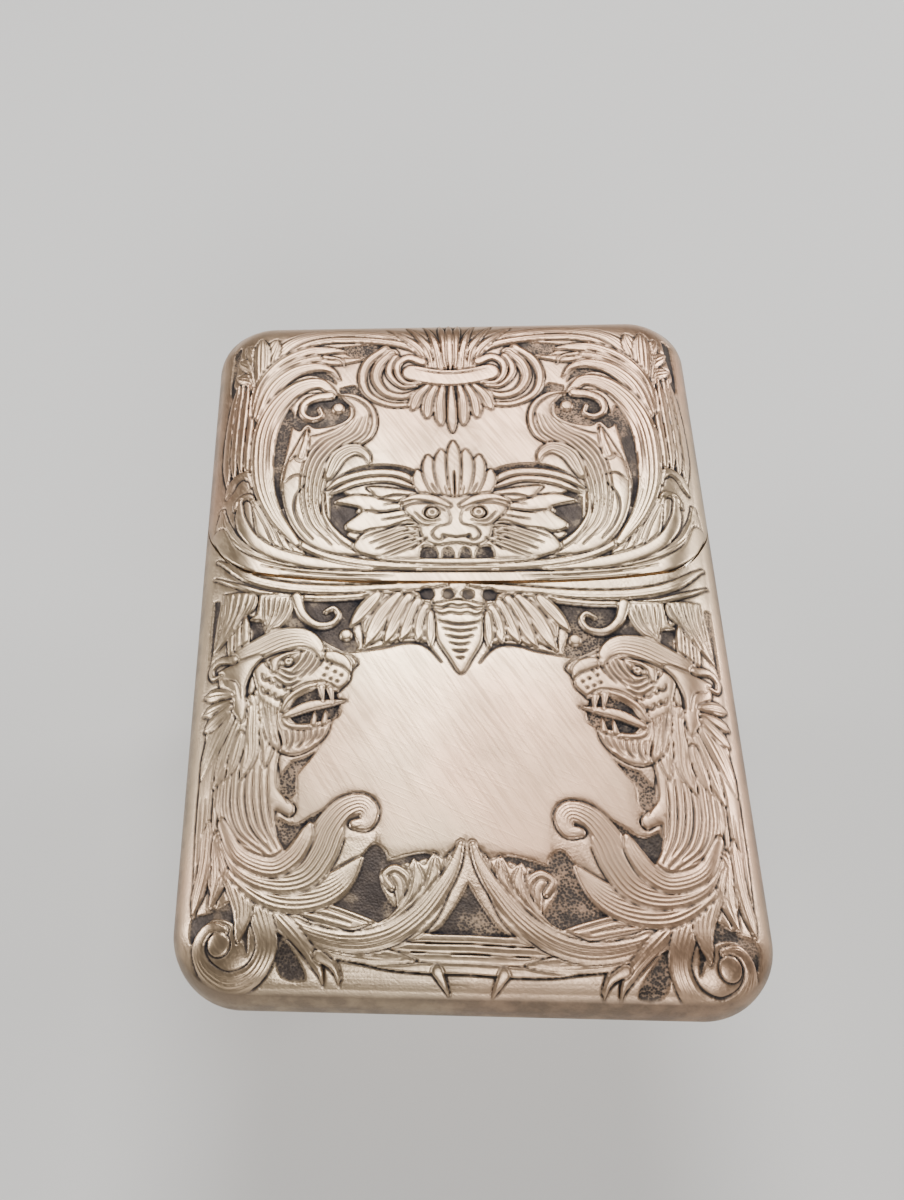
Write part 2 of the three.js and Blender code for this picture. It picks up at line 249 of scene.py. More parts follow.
        ("curl", 0.95, 2, [(-5.6, 25.7), (-7.1, 24.3), (-7.6, 22.4), (-7, 20.5), (-5.2, 19.4), (-3.3, 19.5),
          (-2.6, 20.4)]),
        ("curl", 1.15, 2, [(-5, 25.2), (-6.1, 23.9), (-6.4, 22.3), (-5.6, 20.8), (-4.2, 20.3), (-2.9, 20.8),
          (-2, 21.6)]),
        ("curl", 0.8, 0, [(-4.7, 24.7), (-5.3, 23.4), (-5, 22.3), (-4.1, 21.4), (-3, 21.5)]),
    ],
    "upPalmette": [
        ("blade", 1.3, 2, [(-1.7, 23.4), (-2.4, 25.4), (-3.9, 27.1), (-5.4, 28.6)]),
        ("blade", 1.2, 2, [(-1.2, 23.4), (-1.7, 25.5), (-2.7, 27.3), (-3.7, 29)]),
        ("blade", 1.1, 2, [(-0.8, 23.4), (-1.1, 25.6), (-1.6, 27.6), (-2.2, 29.3)]),
        ("strip", 0.6, 0, [(-0.4, 23.4), (-0.5, 26), (-0.8, 29.3)]),
        ("strip", 0.6, 0, [(0, 23.4), (0, 26), (0, 29.4)]),
    ],
    "downPalmette": [
        ("tongue", 1.1, 2, [(-1.9, 21.5), (-2.8, 20.4), (-3.3, 18.9)]),
        ("tongue", 1.1, 2, [(-1.3, 21.5), (-1.9, 19.9), (-2.1, 18)]),
        ("tongue", 1, 2, [(-0.7, 21.5), (-1, 19.5), (-0.95, 17.2)]),
        ("tongue", 0.85, 0, [(0, 21.5), (0, 19), (0, 16.4)]),
    ],
    "ring": [
        ("curl", 0.85, 0, [(-2.4, 24.2), (-3.6, 24.7), (-4.5, 24), (-4.5, 22.8), (-3.8, 21.8), (-2.6, 21.8)]),
        ("pit", 0.7, 0, [(-3.6, 23.3)]),
        ("bar", 1.75, 0, [(-3.3, 22.95), (-1.6, 22.5), (0, 22.35)]),
        ("line", 0.14, 0, [(-3, 23.4), (-1.5, 22.95), (0, 22.8)]),
    ],
    "lipBar": [
        ("bar", 1.2, 0, [(-19.2, 6.6), (-17.9, 4.3), (-15.5, 2.75), (-12.5, 2.1), (-9, 1.85), (-4.5, 1.75),
          (0, 1.75)]),
        ("line", 0.16, 0, [(-15.5, 2.95), (-12.5, 2.35), (-9, 2), (-5, 1.9)]),
        ("line", 0.16, 0, [(-14, 2), (-10.5, 1.65), (-6, 1.55)]),
    ],
}

lidReserve = [(0.6, 20), (-2.4, 20.2), (-4, 19.7), (-6.4, 19.6), (-7.2, 18), (-7.1, 16), (-8, 14.9),
    (-7.4, 13.2), (-6, 12.9), (-3.6, 12.6), (-2.4, 13.2), (0.6, 14.4)]

bodyOrnament = {
    "grounds": [
        hollow((-12.5, 0.1), (-13, -1.9), (-14.6, -3.9), (-13.2, -3.3), (-11.2, -3.3), (-10, -4.2),
          (-8.4, -5), (-7.6, -4.4), (-8, -2.8), (-7.3, -0.2), (-10, 0)),
        hollow((-16.2, -1.5), (-15, -2.4), (-14.9, -4), (-15.8, -5), (-15.9, -3), (-16.8, -1.9)),
        hollow((-12.4, -14), (-11, -13.4), (-10.2, -12.6), (-11, -13.9), (-11.9, -15.2), (-12, -16.6),
          (-12.9, -17.2), (-13.2, -15.4)),
        hollow((-13.2, -18.4), (-12, -18.9), (-10.8, -18.2), (-9.9, -17.8), (-10.4, -18.8), (-11.8, -20.4),
          (-12.6, -21.4), (-13.6, -20.4)),
        hollow((-7.6, -21.6), (-6.4, -20.2), (-5.4, -21.2), (-6, -22.6), (-5.4, -24.2), (-4.6, -25.4),
          (-6.6, -25.9), (-9.6, -24.9), (-8.4, -23.6)),
        hollow((-6, -21.6), (-4.4, -21.1), (-2.8, -20.8), (-2.6, -21.3), (-4.4, -21.8), (-5.6, -22.4)),
        hollow((0, -22.9), (-0.8, -24.4), (-1.9, -26), (-2.6, -26.8), (2.6, -26.8), (1.9, -26), (0.8, -24.4)),
        hollow((-16, -24.4), (-17.6, -25.3), (-19.1, -25.6), (-19, -27.4), (-17.6, -26), (-15.8, -26.4),
          (-14.9, -28.4), (-14.9, -26.2)),
        hollow((-13.6, -25.9), (-12, -27.6), (-10.9, -29.6), (-12.6, -29.6), (-13.2, -28)),
        hollow((-19.3, 0.4), (-18.6, 0), (-18.8, -2.2), (-19, -5), (-19.3, -5.4)),
    ],
    "lipScroll": [
        ("strip", 0.9, 3, [(-0.9, 1.2), (-3.4, 0.95), (-6.6, 0.75), (-10, 0.7), (-13.5, 1), (-16.5, 1.9),
          (-19.1, 4)]),
        ("strip", 0.5, 0, [(-3.4, 0.5), (-6.6, 0.2), (-9.4, -0.05), (-12.2, 0), (-14.9, 0.3), (-17.4, 1.2),
          (-19.3, 2.4)]),
    ],
    "upperCorner": [
        ("strip", 0.6, 0, [(-17.6, -1.6), (-17.5, -3.4), (-17.4, -5.4)]),
        ("strip", 0.6, 0, [(-17, -1.6), (-16.9, -3.4), (-16.8, -5.4)]),
        ("strip", 0.6, 0, [(-16.4, -1.8), (-16.3, -3.4), (-16.2, -5.4)]),
        panel((-18.3, 0.6), (-16.3, 0.4), (-15.5, 0), (-15.8, -1.2), (-16.4, -1.7), (-17.1, -2.9),
          (-18.9, -4.7), (-18.5, -2.6)),
        ("comb", 0.2, 5, [(-18, 0.4), (-18.1, -1.6), (-18.7, -4.2)], [(-15.8, 0.2), (-16.1, -1),
          (-17.2, -2.7)]),
        panel((-15.4, 0.2), (-12.7, 0), (-12.9, -1.5), (-13.8, -2.9), (-15.3, -4.1), (-14.7, -2.8),
          (-15.2, -2.2), (-16.1, -2.1), (-15.6, -1.5)),
        ("comb", 0.2, 6, [(-15.1, 0), (-15, -1.5), (-14.9, -2.6)], [(-13, -0.2), (-13.4, -1.7),
          (-14.6, -3.3)]),
    ],
    "smallVolute": [
        ("curl", 0.85, 0, [(-12.5, 0), (-12, -1.5), (-10.9, -2.5), (-9.7, -2.4), (-9.2, -1.6), (-9.6, -1),
          (-10.2, -1.3)]),
        ("ball", 1, 0, [(-8.6, -3.4)]),
    ],
    "moustache": [
        panel((-7.2, 0.1), (-7.6, -1.3), (-7.4, -2.6), (-7, -4.2), (-5.9, -3.8), (-5.2, -4.1), (-4.5, -3.7),
          (-3.1, -3.7), (-2.4, -4.1), (-2.2, -2.6), (-1.9, -1), (-2.6, 0.4), (-4.6, 0.3)),
        ("comb", 0.18, 6, [(-6.8, 0), (-7.1, -1), (-7.3, -1.8)], [(-3.4, 0), (-4, -0.8), (-4.6, -1.4)]),
        ("leaf", 1.2, 3, [(-6.2, 0.2), (-7.2, -1.1), (-8.3, -2.7)]),
        ("leaf", 1.4, 4, [(-4.6, 0.1), (-5.9, -1.8), (-7.2, -4.5)]),
        ("leaf", 1.3, 3, [(-3.8, 0), (-4.7, -2), (-5.7, -4.2)]),
        ("leaf", 1.3, 3, [(-3.1, -0.4), (-3.7, -2.2), (-4.5, -3.9)]),
        ("leaf", 1.2, 3, [(-2.5, -0.9), (-2.9, -2.5), (-3.2, -4)]),
        ("leaf", 0.9, 2, [(-2.1, -1.4), (-2.2, -2.9), (-2.2, -4.5)]),
        ("line", 0.3, 0, [(-8.2, -4.9), (-7.2, -4.75), (-5.6, -4.45), (-4.4, -4.1), (-3.1, -4.1),
          (-2.2, -4.7), (-1.4, -5.8)]),
    ],
    "chin": [
        panel((-2, -0.6), (-1.8, -2.2), (-1.7, -3.8), (-0.9, -5.4), (0, -6.8), (0.9, -5.4), (1.7, -3.8),
          (1.8, -2.2), (2, -0.6), (0, -0.2)),
        ("comb", 0.2, 6, [(-1.6, -2.2), (0, -2.5), (1.6, -2.2)], [(-0.3, -5.4), (0, -5.5), (0.3, -5.4)]),
        ("strip", 0.5, 0, [(-1.9, -1.1), (-1.3, -1.35), (-0.7, -1.15), (0, -1.3)]),
        ("line", 0.2, 0, [(-2.1, -0.75), (-1.3, -0.95), (-0.6, -0.7), (0, -0.85)]),
        ("pit", 1.2, 0, [(-2.4, 0.35)]),
        ("pit", 1, 0, [(-0.75, 0.35)]),
    ],
    "neckField": [
        panel((-18.9, -10), (-16.4, -9), (-14.6, -9.4), (-13.2, -12), (-13.4, -14.2), (-13.3, -16.2),
          (-12, -17.6), (-12.4, -18.4), (-13.4, -17.9), (-13.2, -19.8), (-12.5, -21.5), (-14.6, -21.9),
          (-16.2, -21), (-17.2, -19.6), (-17, -22), (-17.4, -25.2), (-18.2, -22.8), (-18.9, -25.6),
          (-19.2, -20), (-19.2, -15)),
        ("comb", 0.2, 8, [(-17.7, -15.4), (-17.7, -18), (-16.8, -20), (-14.4, -21.5)], [(-14.1, -14.4),
          (-14, -16.8), (-13.7, -18.8), (-13, -20.8)]),
        ("comb", 0.2, 4, [(-19, -16.6), (-18.9, -20), (-18.9, -24)], [(-17.5, -17), (-17.6, -20.4),
          (-17.6, -24)]),
        ("line", 0.26, 0, [(-18, -15), (-18.1, -19), (-18.1, -22.6)]),
        ("line", 0.24, 0, [(-13.3, -14.4), (-13, -16.2), (-12.5, -17.4)]),
    ],
    "mane": [
        ("leaf", 1.3, 3, [(-15, -8.4), (-14.7, -10.6), (-14.2, -12.4), (-14.3, -14.6)]),
        ("leaf", 1.4, 3, [(-15.6, -9), (-15.6, -11.6), (-15.5, -13.6), (-16, -15.6)]),
        ("leaf", 1.4, 3, [(-16.2, -10.2), (-16.8, -12.4), (-17.3, -14.2), (-18, -16.2)]),
        ("leaf", 1.4, 3, [(-17, -9.8), (-17.9, -11.6), (-18.6, -13.4), (-19.1, -15.2)]),
        ("leaf", 0.9, 2, [(-16.2, -12), (-16.6, -14), (-17, -15.4)]),
    ],
    "head": [
        panel((-16, -5.2), (-14.8, -4), (-13, -3.3), (-11.4, -3.5), (-10.3, -4.3), (-9.3, -4.8), (-8.3, -5.2),
          (-7.7, -5.9), (-8.2, -6.6), (-8.3, -7.4), (-9, -8.2), (-9.4, -8.6), (-9.6, -10.6), (-9.9, -11.9),
          (-10.9, -13), (-12.2, -13.6), (-13.5, -13.2), (-14.4, -12), (-14.8, -9.6), (-15.4, -7.4)),
        ("comb", 0.22, 5, [(-14.9, -6.9), (-14.7, -7.4), (-14.2, -7.4)], [(-12.7, -8.1), (-12.5, -8.6),
          (-12, -8.5)]),
        ("comb", 0.22, 4, [(-14.9, -8), (-14.7, -8.5), (-14.2, -8.5)], [(-13.4, -8.8), (-13.2, -9.3),
          (-12.8, -9.2)]),
        ("comb", 0.2, 5, [(-14.7, -9.2), (-14.4, -10.8), (-14, -12.4)], [(-13.6, -9.8), (-13.6, -11),
          (-13.1, -12.8)]),
        ("comb", 0.2, 8, [(-13.4, -11.6), (-13.2, -12.6), (-13.4, -13.4)], [(-10.2, -11.4), (-10.3, -12),
          (-11, -12.8)]),
        ("comb", 0.2, 3, [(-10.6, -4.6), (-10.3, -5.4), (-10.6, -6.2)], [(-9.7, -4.9), (-9.5, -5.6),
          (-9.8, -6.2)]),
        ("comb", 0.2, 3, [(-14, -7.2), (-13, -7.9), (-12, -7.5)], [(-13.7, -6.4), (-12.7, -6.9),
          (-11.8, -6.6)]),
        ("comb", 0.2, 4, [(-11.4, -4.9), (-11.8, -5.8), (-12.6, -6.8)], [(-10.4, -5.3), (-10.8, -6.3),
          (-11.8, -7.5)]),
        ("comb", 0.2, 4, [(-14.9, -5.3), (-14.6, -6), (-14.2, -6.5)], [(-14, -4.6), (-13.9, -5),
          (-13.7, -5.3)]),
        ("leaf", 1, 0, [(-10.3, -5.2), (-9.4, -5.4), (-8.6, -5.9), (-8.2, -6.7)]),
        *dots(0.26, (-10.2, -7), (-9.7, -7.3), (-9.2, -7.5), (-10, -6.4), (-9.4, -6.7), (-8.9, -7)),
    ],
    "mouthOpen": [
        hollow((-12.9, -10.2), (-12.4, -9), (-11.3, -8.2), (-10.2, -8), (-9.2, -8.5), (-9, -10.4),
          (-10.8, -10.9), (-12.2, -11)),
        ("strip", 0.45, 0, [(-13.3, -10), (-12.8, -8.9), (-11.6, -8), (-10.3, -7.8), (-9.1, -8.3)]),
        ("strip", 0.45, 0, [(-13.3, -10.2), (-12.8, -11.1), (-11.6, -11.3), (-10.4, -11), (-9.7, -10.7)]),
        ("leaf", 0.8, 0, [(-13, -10.4), (-11.4, -9.6), (-9.9, -9.3), (-8.5, -9.1)]),
        ("blade", 0.5, 0, [(-10.4, -8), (-10.2, -9.2)]),
        ("blade", 0.5, 0, [(-9.7, -8.2), (-9.5, -9.3)]),
        ("blade", 0.5, 0, [(-10.9, -11), (-10.8, -9.9)]),
        ("blade", 0.5, 0, [(-10.1, -10.9), (-10, -9.8)]),
    ],
    "eye": [
        ("line", 0.34, 0, [(-13.6, -6.2), (-12.8, -6.2), (-12.3, -5.7), (-12.1, -5.2)]),
        ("leaf", 0.7, 0, [(-14, -6.6), (-13.9, -5.6), (-13.1, -5.1), (-12, -4.9)]),
        ("ball", 0.7, 0, [(-12.95, -5.8)]),
        ("dot", 0.3, 0, [(-12.9, -5.8)]),
    ],
    "headLeaves": [
        ("leaf", 2.1, 6, [(-17, -5.6), (-15.4, -4.9), (-13.5, -3.9), (-11.9, -3.7), (-10.8, -4.4),
          (-10.4, -5.6)]),
        ("line", 0.3, 0, [(-11.7, -4.9), (-13.4, -4.95), (-14.8, -5.6), (-15.7, -6.8), (-15.9, -8.4),
          (-15.6, -9.6)]),
        panel((-18.4, -6.4), (-16.9, -5.9), (-14.9, -5.3), (-15.6, -6.5), (-16.1, -8.1), (-15.9, -9.7),
          (-16.2, -11), (-17, -10), (-17.6, -9.2), (-18.1, -8)),
        ("line", 0.14, 0, [(-17.8, -7.2), (-16.8, -7.6), (-16.4, -9)]),
        ("curl", 0.75, 0, [(-17.2, -5.6), (-18.3, -5.5), (-18.9, -6.1), (-18.7, -6.9), (-18.1, -6.8)]),
        ("tongue", 1.1, 2, [(-17.2, -8.6), (-18.1, -8.4), (-19.2, -8.3)]),
        ("tongue", 1.1, 2, [(-17.2, -9.2), (-18.1, -9.5), (-19.2, -9.8)]),
        ("tongue", 1.1, 2, [(-17.2, -9.6), (-18, -10.4), (-19, -11.2)]),
    ],
    "bottomRibs": [
        panel((-13.8, -24.2), (-10.2, -24.5), (-6.2, -25.9), (-6.4, -27), (-10, -26.8), (-12.8, -25.6)),
        ("comb", 0.2, 3, [(-13, -24.5), (-10, -24.9), (-6.5, -26.1)], [(-12.4, -25.3), (-9.4, -26.2),
          (-7, -26.8)]),
        ("bar", 0.6, 0, [(-5.4, -26.9), (-2.6, -26.95), (0, -27)]),
        ("bar", 0.6, 0, [(-6.4, -27.5), (-3, -27.6), (0, -27.6)]),
        ("bar", 0.6, 0, [(-7.6, -27.9), (-4, -28.2), (0, -28.25)]),
        ("bar", 0.6, 0, [(-8.4, -28.1), (-5, -28.7), (0, -28.85)]),
        ("leaf", 1.3, 0, [(-13, -25.6), (-11, -27.4), (-9.8, -29.6)]),
        ("blade", 0.9, 0, [(-9.5, -28.2), (-8.6, -29.6)]),
        ("blade", 0.7, 0, [(-2.2, -29), (-1.4, -30.3)]),
    ],
    "bottomSweep": [
        panel((-5.7, -22.2), (-4.9, -21.8), (-4.2, -22.2), (-3.7, -21.3), (-3, -21.8), (-2.3, -20.9),
          (-1.6, -21.3), (-0.3, -20.1), (-0.7, -21.9), (-1.7, -23.9), (-3.2, -25.8), (-5.6, -27.2),
          (-8.6, -27.6), (-6.4, -26.4), (-5, -25.4), (-4.9, -24)),
        ("leaf", 1.7, 4, [(-15, -24), (-12.6, -25.9), (-10, -27.2), (-7, -28), (-3.6, -28.4)]),
        ("curl", 1.1, 2, [(-6.6, -26.8), (-5, -26), (-4, -24.6), (-4, -22.9), (-4.9, -22.1), (-5.7, -22.6),
          (-5.2, -23.5)]),
        ("leaf", 1.5, 3, [(-7.2, -26.9), (-5, -26.2), (-3.8, -24.6), (-3.4, -23), (-3.6, -21.6)]),
        ("leaf", 1.6, 3, [(-7.8, -27.1), (-5.2, -26.6), (-3.4, -25.1), (-2.4, -23.2), (-2.2, -21.2)]),
        ("leaf", 1.3, 3, [(-8.2, -27.3), (-5.6, -27), (-3.3, -25.9), (-2.1, -24.2), (-1.5, -22.6),
          (-1.2, -20.9)]),
        ("neck", 1.5, 4, [(-14.4, -24.5), (-11.6, -26.4), (-8.4, -27.3), (-5.6, -26.9), (-3.4, -25.4),
          (-1.8, -23.4), (-0.9, -21.8), (-0.4, -20.2)]),
        ("leaf", 0.95, 2, [(-13.8, -24.7), (-12.6, -25.9), (-11.4, -27.2), (-10.2, -28.7), (-9.8, -29.9)]),
        ("blade", 0.7, 0, [(-10.1, -28.2), (-9.1, -28.9), (-8.7, -29.9)]),
    ],
    "cornerVolute": [
        ("strip", 1, 2, [(-18.2, -18.8), (-18.3, -22), (-18.9, -25.2)]),
        ("leaf", 1.2, 2, [(-17.4, -19.8), (-17.1, -22.8), (-17.7, -25.2)]),
        ("curl", 1.7, 4, [(-14.9, -23.8), (-14, -25.8), (-13.6, -27.8), (-14.5, -29.4), (-16.3, -29.9),
          (-17.9, -29), (-18.4, -27.6), (-17.6, -26.5), (-16.6, -26.7)]),
        ("ball", 1.6, 0, [(-16.9, -27.6)]),
        ("leaf", 1.7, 4, [(-17, -20.2), (-16, -22.8), (-15.3, -25.2), (-15.6, -27.5)]),
    ],
    "acanthus": [
        ("leaf", 2.6, 7, [(-15.8, -22.6), (-13.2, -23.9), (-10.8, -24), (-8.9, -23.2), (-7.2, -21.3)]),
        ("neck", 2.5, 6, [(-16.9, -20.4), (-15.4, -22.3), (-13.2, -23), (-11.3, -22.6), (-10.2, -21.1),
          (-9.5, -19.3), (-8.5, -17.9), (-7.4, -17.4), (-6.8, -17.9), (-7, -18.8), (-7.8, -18.9)]),
        ("tongue", 1.5, 4, [(-17.2, -18.9), (-15.8, -21.3), (-13.6, -22.2), (-12.2, -21.5), (-11.4, -20.3),
          (-10.9, -19)]),
    ],
}

bodyReserve = [(0.6, -5.6), (-1.6, -5.6), (-2.5, -4.7), (-3.8, -4.3), (-5.4, -4.7), (-7.6, -5), (-8, -6.4),
    (-8.4, -8), (-8.9, -10.4), (-9.9, -11.4), (-10.2, -12.8), (-11.4, -14.4), (-11.6, -16.4), (-11.6, -18.6),
    (-10, -17.6), (-8.6, -16.4), (-6.4, -16.8), (-5.8, -19.6), (-5.9, -20.6), (-4.8, -21), (-3.4, -20.8),
    (-1.4, -20.6), (0.6, -19.4)]


def curveThrough(points, step=0.12):
    # smooth line through the points
    p = np.array(points, float)
    if len(p) < 2:
        return p
    ends = np.vstack([2 * p[0] - p[1], p, 2 * p[-1] - p[-2]])
    run = []
    for i in range(len(p) - 1):
        a, b, c, d = ends[i : i + 4]
        count = max(2, int(np.hypot(*(c - b)) / step))
        t = (np.arange(count) / count)[:, None]
        bend, twist = 2 * a - 5 * b + 4 * c - d, 3 * b - a - 3 * c + d
        run.append(0.5 * (2 * b + (c - a) * t + bend * t**2 + twist * t**3))
    return np.vstack(run + [p[-1:]])


def measure(line, x, y):
    # distance to the line, which side of it, and how far along it, 0 to 1
    if len(line) == 1:
        return np.hypot(x - line[0, 0], y - line[0, 1]), np.ones_like(x), np.full_like(x, 0.5)
    a, b = line[:-1], line[1:]
    leg = b - a
    length = np.hypot(leg[:, 0], leg[:, 1])
    before = np.concatenate([[0], np.cumsum(length)[:-1]])
    best = np.full(x.shape, 1e9)
    side = np.zeros_like(x)
    along = np.zeros_like(x)
    for i in range(len(a)):
        px, py = x - a[i, 0], y - a[i, 1]
        t = np.clip((px * leg[i, 0] + py * leg[i, 1]) / length[i] ** 2, 0, 1)
        dx, dy = px - t * leg[i, 0], py - t * leg[i, 1]
        d = dx * dx + dy * dy
        near = d < best
        best = np.where(near, d, best)
        side = np.where(near, np.sign(leg[i, 0] * py - leg[i, 1] * px), side)
        along = np.where(near, before[i] + t * length[i], along)
    return np.sqrt(best), side, along / length.sum()


def swell(kind, s):
    # half width along a stroke, as a share of its full half width
    if kind == "leaf":
        return np.abs(np.sin(np.pi * np.clip(0.12 + 0.88 * s, 0, 1) ** 0.9)) ** 0.75 + 0.05
    if kind == "blade":
        return np.clip(1 - s, 0, 1) ** 0.7 + 0.04
    if kind == "tongue":
        widest = 0.68
        rounded = np.sqrt(np.clip(1 - ((s - widest) / 0.34) ** 2, 0.01, 1))
        return np.where(s < widest, 0.45 + 0.55 * np.sin(np.pi / 2 * s / widest), rounded)
    if kind == "neck":
        return 0.3 + 0.7 * np.abs(np.sin(np.pi * np.clip(s, 0, 1) ** 1.1)) ** 0.8
    if kind == "curl":
        return 1 - 0.55 * s
    if kind == "line":
        return 0.4 + 0.6 * np.clip(np.minimum(s, 1 - s) / 0.3, 0, 1)
    if kind == "strip":
        return np.clip(np.minimum(s / 0.18, (1 - s) / 0.18), 0.12, 1) ** 0.5
    return np.ones_like(s)


def insideOutline(points, x, y):
    # even-odd test against a closed smooth outline
    ring = curveThrough(points + points[:1], 0.4)
    hit = np.zeros(x.shape, bool)
    for (ax, ay), (bx, by) in zip(ring[:-1], ring[1:]):
        if ay != by:
            hit ^= ((ay > y) != (by > y)) & (x < (bx - ax) * (y - ay) / (by - ay) + ax)
    return hit


def strike(height, cover, xs, ys, stroke):
    # one stroke struck into the height map, over what is there already
    kind, width, flutes, points = stroke[:4]
    if kind == "comb":  # fine lines spread evenly from one guide to the other
        for i, share in enumerate(np.linspace(0, 1, flutes)):
            pairs = zip(points, stroke[4])
            guide = [(ax + (bx - ax) * share, ay + (by - ay) * share) for (ax, ay), (bx, by) in pairs]
            if i % 2:
                short = relief["combShort"]
                guide[-1] = tuple((1 - short) * a + short * b for a, b in zip(guide[-2], guide[-1]))
            strike(height, cover, xs, ys, ("line", width * relief["combWidths"][i % 4], 0, guide))
        return
    area = kind in ("panel", "hollow")
    line = curveThrough(points + points[:1] if area else points)
    reach = width / 2 + relief["outline"] + 0.1
    c0, c1 = np.searchsorted(xs, [line[:, 0].min() - reach, line[:, 0].max() + reach])
    r0, r1 = np.searchsorted(ys, [line[:, 1].min() - reach, line[:, 1].max() + reach])
    if c1 <= c0 or r1 <= r0:
        return
    x, y = np.meshgrid(xs[c0:c1], ys[r0:r1])
    away, side, s = measure(line, x, y)
    old = height[r0:r1, c0:c1]
    shown = cover[r0:r1, c0:c1]
    if area:
        inside = insideOutline(points, x, y)
        half = 0
        if kind == "hollow":
            slope = np.clip(1 - away / relief["hollowEdge"], 0, 1)
            height[r0:r1, c0:c1] = np.where(inside, relief["ground"] + (old - relief["ground"]) * slope, old)
            cover[r0:r1, c0:c1] = np.where(inside, 0.0, shown)
            return
        rounding = relief["panelRound"] * np.exp(-away / relief["panelFade"])
        profile = relief["top"] - relief["panelDrop"] - rounding
    else:
        half = width / 2 * swell(kind, s)
        q = away / half
        inside = q < 1
    if kind in ("line", "dot", "pit"):
        depth = relief["pit" if kind == "pit" else "cut"] * np.clip(1 - q**2, 0, 1) ** 0.8
        height[r0:r1, c0:c1] = np.maximum(old - depth, np.minimum(old, relief["ground"]))
        return
    if not area:
        dome = relief["crown"] * min(1.0, (width / 1.1) ** 0.5)
        profile = relief["top"] - dome * (1 - np.sqrt(np.clip(1 - q**2, 0, 1)))
        if kind == "bar":
            profile = relief["top"] - 0.5 * dome * q**6
        if flutes:  # fine cuts that run with the leaf
            wave = 0.5 + 0.5 * np.cos(np.pi * (side * q * (flutes + 1) + flutes))
            profile = profile - relief["flute"] * wave**2.5 * np.clip(1.1 - q**6, 0, 1)
    cut = relief["outlineDepth"] * np.clip(1 - (away - half) / relief["outline"], 0, 1)
    sunk = np.maximum(old - cut, relief["ground"] - 0.01)
    around = np.where(away < half + relief["outline"], np.minimum(old, sunk), old)
    height[r0:r1, c0:c1] = np.where(inside, profile, around)
    cover[r0:r1, c0:c1] = np.where(inside, 1.0, shown)


def soften(field, sigma):
    # small gaussian blur, sigma in cells
    reach = int(3 * sigma) + 1
    kernel = np.exp(-0.5 * (np.arange(-reach, reach + 1) / sigma) ** 2)
    kernel /= kernel.sum()
    for axis in (0, 1):
        pad = [(reach, reach) if a == axis else (0, 0) for a in (0, 1)]
        wide = np.pad(field, pad, mode="edge")
        total = np.zeros_like(field)
        for k, weight in enumerate(kernel):
            cutout = [slice(None), slice(None)]
            cutout[axis] = slice(k, k + field.shape[axis])
            total += weight * wide[tuple(cutout)]
        field = total
    return field


def strikeDie(ornament, reserve):
    # the left half of one die: height in mm, how bare the ground is, how recessed each spot is, with painted
    # shade on the bare rim
    cell = relief["cell"]
    xs = np.arange(relief["left"], 0.6, cell)
    ys = np.arange(relief["low"], relief["high"], cell)
    x, y = np.meshgrid(xs, ys)
    flat = soften(insideOutline(reserve, x, y).astype(float), relief["reserveEdge"])
    height = relief["field"] + (relief["plain"] - relief["field"]) * flat
    cover = relief["fieldCover"] + (1 - relief["fieldCover"]) * flat
    for group in ornament.values():
        for stroke in group:
            kind, width, flutes, points = stroke[:4]
            mirrored = [(-px, py) for px, py in points]
            single = kind not in ("panel", "hollow", "comb")
            if single and points[-1][0] == 0 and points[0][0] < 0:  # runs on across the middle
                strike(height, cover, xs, ys, (kind, width, flutes, points + mirrored[-2::-1]))
                continue
            strike(height, cover, xs, ys, stroke)
            if -relief["overlap"] < max(px for px, py in points) < 0:  # its twin reaches over the middle
                guide = tuple([(-px, py) for px, py in other] for other in stroke[4:])
                strike(height, cover, xs, ys, (kind, width, flutes, mirrored) + guide)
    bare = np.clip((-x - relief["rimFrom"]) / relief["rimFade"], 0, 1)
    height = height * (1 - bare) + relief["rim"] * bare
    height = soften(height, 0.6)
    below = soften(height, relief["shadeReach"]) - height
    recess = np.clip((below - relief["shadeFrom"]) / relief["shadeSpan"], 0, 1)
    deep = np.clip((-height - relief["deepFrom"]) / relief["deepSpan"], 0, 1) * (1 - soften(flat, 2))
    # the bare rim gets painted shade, as if the edge fell away into shade
    recess = np.maximum(np.maximum(recess, relief["deepShare"] * deep), relief["rimPaintedShade"] * bare)
    ground = soften(np.clip(1 - np.maximum(cover, bare), 0, 1), 1)
    return {"xs": xs, "ys": ys, "height": height, "recess": soften(recess, 0.7), "ground": ground}


def readDie(die, field, x, y):
    # bilinear reading of one field of a die at places in mm
    cell = relief["cell"]
    grid = die[field]
    c = np.clip((x - die["xs"][0]) / cell, 0, grid.shape[1] - 1.001)
    r = np.clip((y - die["ys"][0]) / cell, 0, grid.shape[0] - 1.001)
    c0, r0 = c.astype(int), r.astype(int)
    fc, fr = c - c0, r - r0
    top = grid[r0 + 1, c0] * (1 - fc) + grid[r0 + 1, c0 + 1] * fc
    low = grid[r0, c0] * (1 - fc) + grid[r0, c0 + 1] * fc
    return low * (1 - fr) + top * fr


lidDie = strikeDie(lidOrnament, lidReserve)
bodyDie = strikeDie(bodyOrnament, bodyReserve)
print("dies cut")

